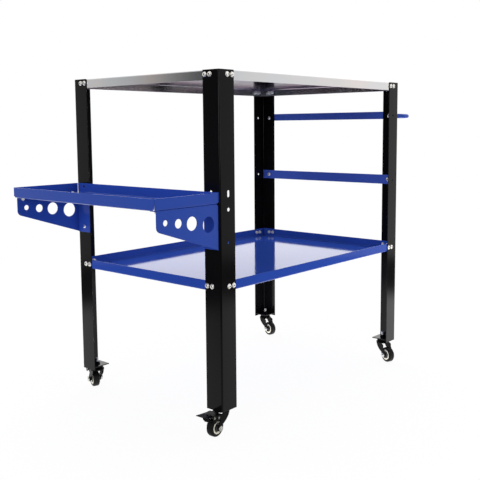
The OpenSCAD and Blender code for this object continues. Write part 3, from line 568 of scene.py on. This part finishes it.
# %% [markdown]
# Cut and folded sheet has no knife-sharp edges. Each sheet solid is loose triangles, so a Weld modifier
# first joins them and a Decimate modifier dissolves the lines inside flat faces, which a bevel would turn
# into creases. Then a Bevel rounds the edges by a fraction of the sheet's thickness. As modifiers they leave
# the mesh itself as it was packed.

# %% Rounded edges
SHEET_ROUNDING, CASTER_ROUNDING = 0.35, 0.4  # millimetres
FLAT_WITHIN = math.radians(1)
SHARP_FROM = math.radians(40)
SHEETS = (
    "leg_front_left", "leg_rear_left", "leg_front_right", "leg_rear_right", "table_top", "lower_shelf",
    "side_tray", "tray_bracket_front", "tray_bracket_rear", "bracket_flanges_front",
    "bracket_flanges_rear", "upper_rail", "lower_rail", "caster_plates",
)


def round_edges(name, width_mm):
    solid = nodes[name]
    solid.modifiers.new("joined", "WELD").merge_threshold = MERGE_REACH
    planes = solid.modifiers.new("planes", "DECIMATE")
    planes.decimate_type = "DISSOLVE"
    planes.angle_limit = FLAT_WITHIN
    bevel = solid.modifiers.new("rounded", "BEVEL")
    bevel.width = width_mm * MM
    bevel.segments = 2
    bevel.limit_method = "ANGLE"
    bevel.angle_limit = SHARP_FROM
    bevel.use_clamp_overlap = False
    for polygon in solid.data.polygons:
        polygon.use_smooth = True
    solid.modifiers.new("flat_faces", "WEIGHTED_NORMAL").keep_sharp = True


CASTER_SHEETS = [name for name in nodes if name.startswith(("fork_", "brake_pedal_"))]
for name in SHEETS:
    round_edges(name, SHEET_ROUNDING)
for name in CASTER_SHEETS:
    round_edges(name, CASTER_ROUNDING)
print("rounded sheets:", len(SHEETS), "and caster parts:", len(CASTER_SHEETS))

# %% [markdown]
# Small turned and stamped parts are what tells a real machine from a toy, so each bolt and nut is modelled
# again at its own place. A hand-made bolt starts as a short cylinder, its dome is drawn up in steps, and a
# six-sided tool cuts the socket. One of each size is made and then copied.

# %% Tools for turned pieces
def bar(name, radius, low, high, sides=40):
    """An upright bar between two heights, in millimetres, with its caps closed."""
    deselect_all()
    bpy.ops.mesh.primitive_cylinder_add(
        vertices=sides, radius=radius * MM, depth=(high - low) * MM, location=(0, 0, (low + high) / 2 * MM)
    )
    made = bpy.context.object
    made.name = name
    bpy.ops.object.transform_apply(location=True, rotation=True, scale=True)
    return made


def draw_up(piece, steps):
    """Draws the highest face up in steps of (height, radius scale), as on a lathe."""
    bpy.context.view_layer.objects.active = piece
    bpy.ops.object.mode_set(mode="EDIT")
    bpy.ops.mesh.select_mode(type="FACE")
    bpy.ops.mesh.select_all(action="DESELECT")
    bpy.ops.object.mode_set(mode="OBJECT")
    top = max(piece.data.polygons, key=lambda face: (round(face.center.z, 7), face.area))
    top.select = True
    bpy.ops.object.mode_set(mode="EDIT")
    for rise, scale in steps:
        bpy.ops.mesh.extrude_region_move(TRANSFORM_OT_translate={"value": (0, 0, rise * MM)})
        bpy.ops.transform.resize(value=(scale, scale, 1))
    bpy.ops.object.mode_set(mode="OBJECT")


def threaded(radius, length, pitch=1.0):
    """Steps that draw a bar up with a ridge at every turn of its thread."""
    flank, crest = pitch * 0.35, pitch * 0.15
    root = 1 - 0.30 * pitch / radius
    return [(flank, root), (crest, 1.0), (flank, 1 / root), (crest, 1.0)] * int(length / pitch)


print("turning tools: bar, draw_up and threaded")

# %% [markdown]
# Two more tools finish a turned piece. One cuts it with a second piece, or joins the two, and the other
# breaks its sharp edges. Both are modifiers that are applied at once, because the piece is copied later.

# %% Tools for cutting and softening
BROKEN_EDGES = math.radians(50)


def carve(piece, tool, operation="DIFFERENCE"):
    deselect_all()
    bpy.context.view_layer.objects.active = piece
    cut = piece.modifiers.new("carve", "BOOLEAN")
    cut.object = tool
    cut.operation = operation
    cut.solver = "EXACT"
    bpy.ops.object.modifier_apply(modifier=cut.name)
    bpy.data.objects.remove(tool)


def soften(piece, width_mm):
    make_active(piece)
    edge = piece.modifiers.new("soften", "BEVEL")
    edge.width = width_mm * MM
    edge.segments = 1
    edge.limit_method = "ANGLE"
    edge.angle_limit = BROKEN_EDGES
    bpy.ops.object.modifier_apply(modifier=edge.name)
    bpy.ops.object.shade_smooth_by_angle(angle=SMOOTH_ANGLE)


print("cutting tools: carve and soften")

# %% [markdown]
# The frame bolts have a thin round flange under a low dome with a hexagon socket. Only the head and the last
# turns of the thread are ever seen, so the shank between them stays plain.

# %% Domed bolt: head
FLANGE_HIGH = 0.7
FLANGE_RIM = [(0.35, 0.985), (0.15, 0.94)]
RIM_TOP = 1.2
DOME_INSET = 0.8
DOME_CLOSES, DOME_STAYS = 0.55, 0.45  # the share of its radius that closes in, and the share left on top
SOCKET_CORNER, SOCKET_DEEP = 2.31, 2.4
SOCKET_REACH, SOCKET_EDGE = 2.35, 0.25


def bolt_head(name, head_radius, head_high):
    bolt = bar(name, head_radius, 0, FLANGE_HIGH)
    rim_radius = head_radius
    for _, scale in FLANGE_RIM:
        rim_radius *= scale
    draw_up(bolt, [*FLANGE_RIM, (0.0, (head_radius - DOME_INSET) / rim_radius)])
    angles = [math.radians(degrees) for degrees in range(0, 91, 15)]
    rise = head_high - RIM_TOP
    levels = [(math.sin(a) * rise, math.cos(a) * DOME_CLOSES + DOME_STAYS) for a in angles]
    draw_up(bolt, [(b[0] - a[0], b[1] / a[1]) for a, b in zip(levels, levels[1:])])
    carve(bolt, bar("socket", SOCKET_CORNER, head_high - SOCKET_DEEP, head_high + 1, sides=6))
    soften(bolt, 0.12)
    bolt.data.materials.clear()
    bolt.data.materials.append(bolt_zinc)
    # The second slot is the near black zinc for the socket's faces, painted shade in the recess.
    bolt.data.materials.append(socket_painted_shade)
    for face in bolt.data.polygons:
        x, y, z = face.center
        in_reach = math.hypot(x, y) < SOCKET_REACH * MM
        in_socket = in_reach and 0.5 * MM < z < (head_high - SOCKET_EDGE) * MM
        face.material_index = 1 if in_socket else 0
    return bolt


print("socket radius at its corners", SOCKET_CORNER, "mm")

# %% [markdown]
# The shank and the threaded tip are joined to the head, so that a bolt is one piece.

# %% Domed bolt: shank and tip
SHANK_RADIUS = 2.98
THREAD_SEEN = 2.0
TIP_CHAMFER = (0.25, 0.82)
TIP_LENGTH = 2.3


def domed_bolt(name, head_radius, head_high, shank):
    bolt = bolt_head(name, head_radius, head_high)
    stem = bar("stem", SHANK_RADIUS, -(shank - THREAD_SEEN), 0.2, sides=24)
    tip = bar("tip", SHANK_RADIUS, 0, 0.05, sides=24)
    draw_up(tip, threaded(SHANK_RADIUS, THREAD_SEEN) + [TIP_CHAMFER])
    past_shank = Matrix.Translation((0, 0, (shank - TIP_LENGTH) * MM))
    tip.data.transform(Matrix.Rotation(math.pi, 4, "X") @ past_shank)
    deselect_all()
    for piece in (stem, tip, bolt):
        piece.select_set(True)
    bpy.context.view_layer.objects.active = bolt
    bpy.ops.object.join()
    bpy.ops.object.shade_smooth_by_angle(angle=SMOOTH_ANGLE)
    print(name, "faces:", len(bolt.data.polygons))
    return bolt


frame_bolt = domed_bolt("frame_bolt", head_radius=7.0, head_high=4.0, shank=11.0)
tray_bolt = domed_bolt("tray_bolt", head_radius=5.25, head_high=4.0, shank=10.5)

# %% [markdown]
# A flange nut is a hexagon whose corners are turned down to a chamfer, on a round foot. The hexagon is cut
# by a turned blank, which leaves the curved chamfer lines that every real nut has. The stem nut is the same
# nut in a larger size, and the tip of the caster's stem stands through it with a coarser thread.

# %% Flange nut and stem tip
FOOT_HIGH, FOOT_SLOPE = 0.9, 0.9
CHAMFER_HIGH, CORNER_CUT = 0.9, 1.15


def flange_nut(name, flats, flange_radius, high, bore):
    corner = flats / 2 / math.cos(math.radians(30))
    nut = bar(name, corner, 0.1, high, sides=6)
    blank = bar("blank", corner + 0.3, -1, high - CHAMFER_HIGH)
    draw_up(blank, [(CHAMFER_HIGH, 1 - CORNER_CUT / corner)])
    carve(nut, blank, "INTERSECT")
    foot = bar("foot", flange_radius, 0, FOOT_HIGH)
    draw_up(foot, [(FOOT_SLOPE, (corner - 0.2) / flange_radius)])
    carve(nut, foot, "UNION")
    carve(nut, bar("bore", bore, -2, high + 2, sides=32))
    soften(nut, 0.15)
    print(name, "faces:", len(nut.data.polygons))
    return nut


STEM_RADIUS, STEM_THREAD, STEM_PITCH = 4.95, 13, 1.5
frame_nut = flange_nut("frame_nut", flats=10, flange_radius=6.5, high=5, bore=3.05)
stem_nut = flange_nut("stem_nut", flats=16, flange_radius=10, high=5.5, bore=5.05)
stem_tip = bar("stem_tip", STEM_RADIUS, 0, 0.4, sides=32)
draw_up(stem_tip, threaded(STEM_RADIUS, STEM_THREAD, STEM_PITCH) + [(0.7, 0.84)])
bpy.ops.object.shade_smooth_by_angle(angle=SMOOTH_ANGLE)
print("stem_tip faces:", len(stem_tip.data.polygons))

# %% [markdown]
# Each place on the frame gets its own copy. A place is a corner of the frame, the way that the top of the
# piece points, and millimetres in from that corner. An array could lay out one side, but the corners are
# mirrored, so the places are listed and seen from each corner. The copies of one CAD node are joined to one
# piece that replaces it.

# %% Copies at the corners
def corner_place(side, x, y, z):
    """A point given as millimetres in from a leg's outer corner and up from the leg ends."""
    cx, cy, sx, sy = SIDES[side]
    return Vector((cx + sx * x * MM, cy + sy * y * MM, leg_end_z + z * MM))


def aim(side, way):
    """Turns an upright piece so that its top points along a way seen from a corner."""
    sx, sy = SIDES[side][2:]
    return Vector((way[0] * sx, way[1] * sy, way[2])).to_track_quat("Z", "Y").to_matrix().to_4x4()


def copies(name, template, places, body, *replaced):
    deselect_all()
    made = []
    for side, way, at in places:
        mesh = template.data.copy()
        mesh.transform(Matrix.Translation(corner_place(side, *at)) @ aim(side, way))
        copy = bpy.data.objects.new(name, mesh)
        bpy.context.scene.collection.objects.link(copy)
        copy.select_set(True)
        made.append(copy)
    bpy.context.view_layer.objects.active = made[0]
    bpy.ops.object.join()
    piece = bpy.context.object
    piece.name = name
    if bolt_zinc not in piece.data.materials[:]:
        piece.data.materials.clear()
        piece.data.materials.append(bolt_zinc)
    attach(piece, body)
    if replaced:
        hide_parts(*replaced)
    print(name, "copies:", len(places))
    return piece


LEFT = ("front_left", "rear_left")
RIGHT = ("front_right", "rear_right")
print("corners:", LEFT + RIGHT)

# %% [markdown]
# The worktop and the shelf hang on the legs by a pair of bolts through each flange of each leg, sixteen for
# each. The heads lie on the legs, and the nuts behind the rim of the pan.

# %% Bolts and nuts of worktop and shelf
PAIR = (32, 50)
TOP_ROW, SHELF_ROW = 901.5, 342
LEG_SHEET, TOP_SHEET, SHELF_SHEET = 2, 2.5, 1.5


def pair_places(row, depth, outward):
    places = []
    sign = -1 if outward else 1
    for side in SIDES:
        for along in PAIR:
            places.append((side, (sign, 0, 0), (depth, along, row)))
            places.append((side, (0, sign, 0), (along, depth, row)))
    return places


top_heads = pair_places(TOP_ROW, 0, outward=True)
shelf_heads = pair_places(SHELF_ROW, 0, outward=True)
top_backs = pair_places(TOP_ROW, LEG_SHEET + TOP_SHEET, outward=False)
shelf_backs = pair_places(SHELF_ROW, LEG_SHEET + SHELF_SHEET, outward=False)
copies("top_bolt_set", frame_bolt, top_heads, "frame", "top_bolts")
copies("shelf_bolt_set", frame_bolt, shelf_heads, "frame", "shelf_bolts")
copies("top_nut_set", frame_nut, top_backs, "frame", "top_nuts")
copies("shelf_nut_set", frame_nut, shelf_backs, "frame", "shelf_nuts")

# %% [markdown]
# Each tray bracket has two bolts through its leg, and two more hold the tray's floor on its flange. The lower
# rail and the handle have one bolt at each end.

# %% Bolts and nuts of tray, rail and handle
BRACKET_SHEET, RAIL_THICK = 2, 3
SINGLE_IN, TRAY_HOLE, FOOT_HOLE = 33, 548, 460
TRAY_UNDER, TRAY_FLOOR = 565.5, 567
LOW_RAIL, HANDLE = 577, 801
FLOOR_BOLTS = ((-32, 17), (-207, 17))
bracket_rows = [(side, z) for side in LEFT for z in (FOOT_HOLE, TRAY_HOLE)]
floor_rows = [(side, x, y) for side in LEFT for x, y in FLOOR_BOLTS]
copies(
    "tray_bolt_set", tray_bolt,
    [(side, (-1, 0, 0), (-BRACKET_SHEET, SINGLE_IN, z)) for side, z in bracket_rows]
    + [(side, (0, 0, 1), (x, y, TRAY_FLOOR)) for side, x, y in floor_rows],
    "frame", "tray_bolts",
)
copies(
    "tray_nut_set", frame_nut,
    [(side, (1, 0, 0), (LEG_SHEET, SINGLE_IN, z)) for side, z in bracket_rows]
    + [(side, (0, 0, -1), (x, y, TRAY_UNDER - BRACKET_SHEET)) for side, x, y in floor_rows],
    "frame", "tray_nuts",
)
copies(
    "rail_bolt_set", frame_bolt,
    [(side, (1, 0, 0), (LEG_SHEET + RAIL_THICK, SINGLE_IN, LOW_RAIL)) for side in RIGHT]
    + [(side, (1, 0, 0), (LEG_SHEET, SINGLE_IN, HANDLE)) for side in RIGHT],
    "frame", "rail_bolts",
)
copies(
    "rail_nut_set", frame_nut,
    [(side, (-1, 0, 0), (0, SINGLE_IN, LOW_RAIL)) for side in RIGHT],
    "frame", "rail_nuts",
)

# %% [markdown]
# Inside each leg end a nut holds the caster's stem on its plate. It takes the black of the forks, and the tip
# of the stem shows bare above it. The templates have done their work then, and are removed.

# %% Stem nuts and tips
STEM_IN = 31
PLATE_TOP, TIP_FOOT = 11, 17.5
nut_places = [(side, (0, 0, 1), (STEM_IN, STEM_IN, PLATE_TOP)) for side in SIDES]
tip_places = [(side, (0, 0, 1), (STEM_IN, STEM_IN, TIP_FOOT)) for side in SIDES]
stem_nuts = copies("stem_nut_set", stem_nut, nut_places, "frame", "stem_nuts")
stem_nuts.data.materials[0] = fork_paint
stem_tips = copies("stem_tip_set", stem_tip, tip_places, "frame")
stem_tips.data.materials[0] = stem_zinc
for template in (frame_bolt, tray_bolt, frame_nut, stem_nut, stem_tip):
    bpy.data.objects.remove(template)

# %% [markdown]
# The caster plates are welded into the leg ends. A weld bead is a row of small overlapping puddles. A bumpy
# texture could hint at it, but the bead stands proud and is seen from the side, so a round start is drawn
# along the seam in steps that swell and shrink.

# %% Weld beads
PUDDLE = 1.4
SWELL, SHRINK = 1.10, 0.96
BEAD_LENGTH, BEAD_RADIUS = 38, 1.9
SEAM_IN, SEAM_START, SEAM_HIGH = 2.4, 8, 11.2


def weld_bead(name, length, radius):
    bead = bar(name, radius * 0.5, 0, 0.3, sides=12)
    steps = [(0.35, 1.5), (0.35, 1.2)]
    for _ in range(int(length / PUDDLE)):
        steps += [(0.55, SWELL), (0.55, SHRINK), (0.3, 1 / (SWELL * SHRINK))]
    steps += [(0.35, 0.8), (0.35, 0.6)]
    draw_up(bead, steps)
    make_active(bead)
    bpy.ops.object.shade_smooth()
    return bead


bead = weld_bead("bead", BEAD_LENGTH, BEAD_RADIUS)
seams = []
for side in SIDES:
    seams.append((side, (0, 1, 0), (SEAM_IN, SEAM_START, SEAM_HIGH)))
    seams.append((side, (1, 0, 0), (SEAM_START, SEAM_IN, SEAM_HIGH)))
welds = copies("plate_welds", bead, seams, "frame")
welds.data.materials.clear()
welds.data.materials.append(leg_paint)
bpy.data.objects.remove(bead)
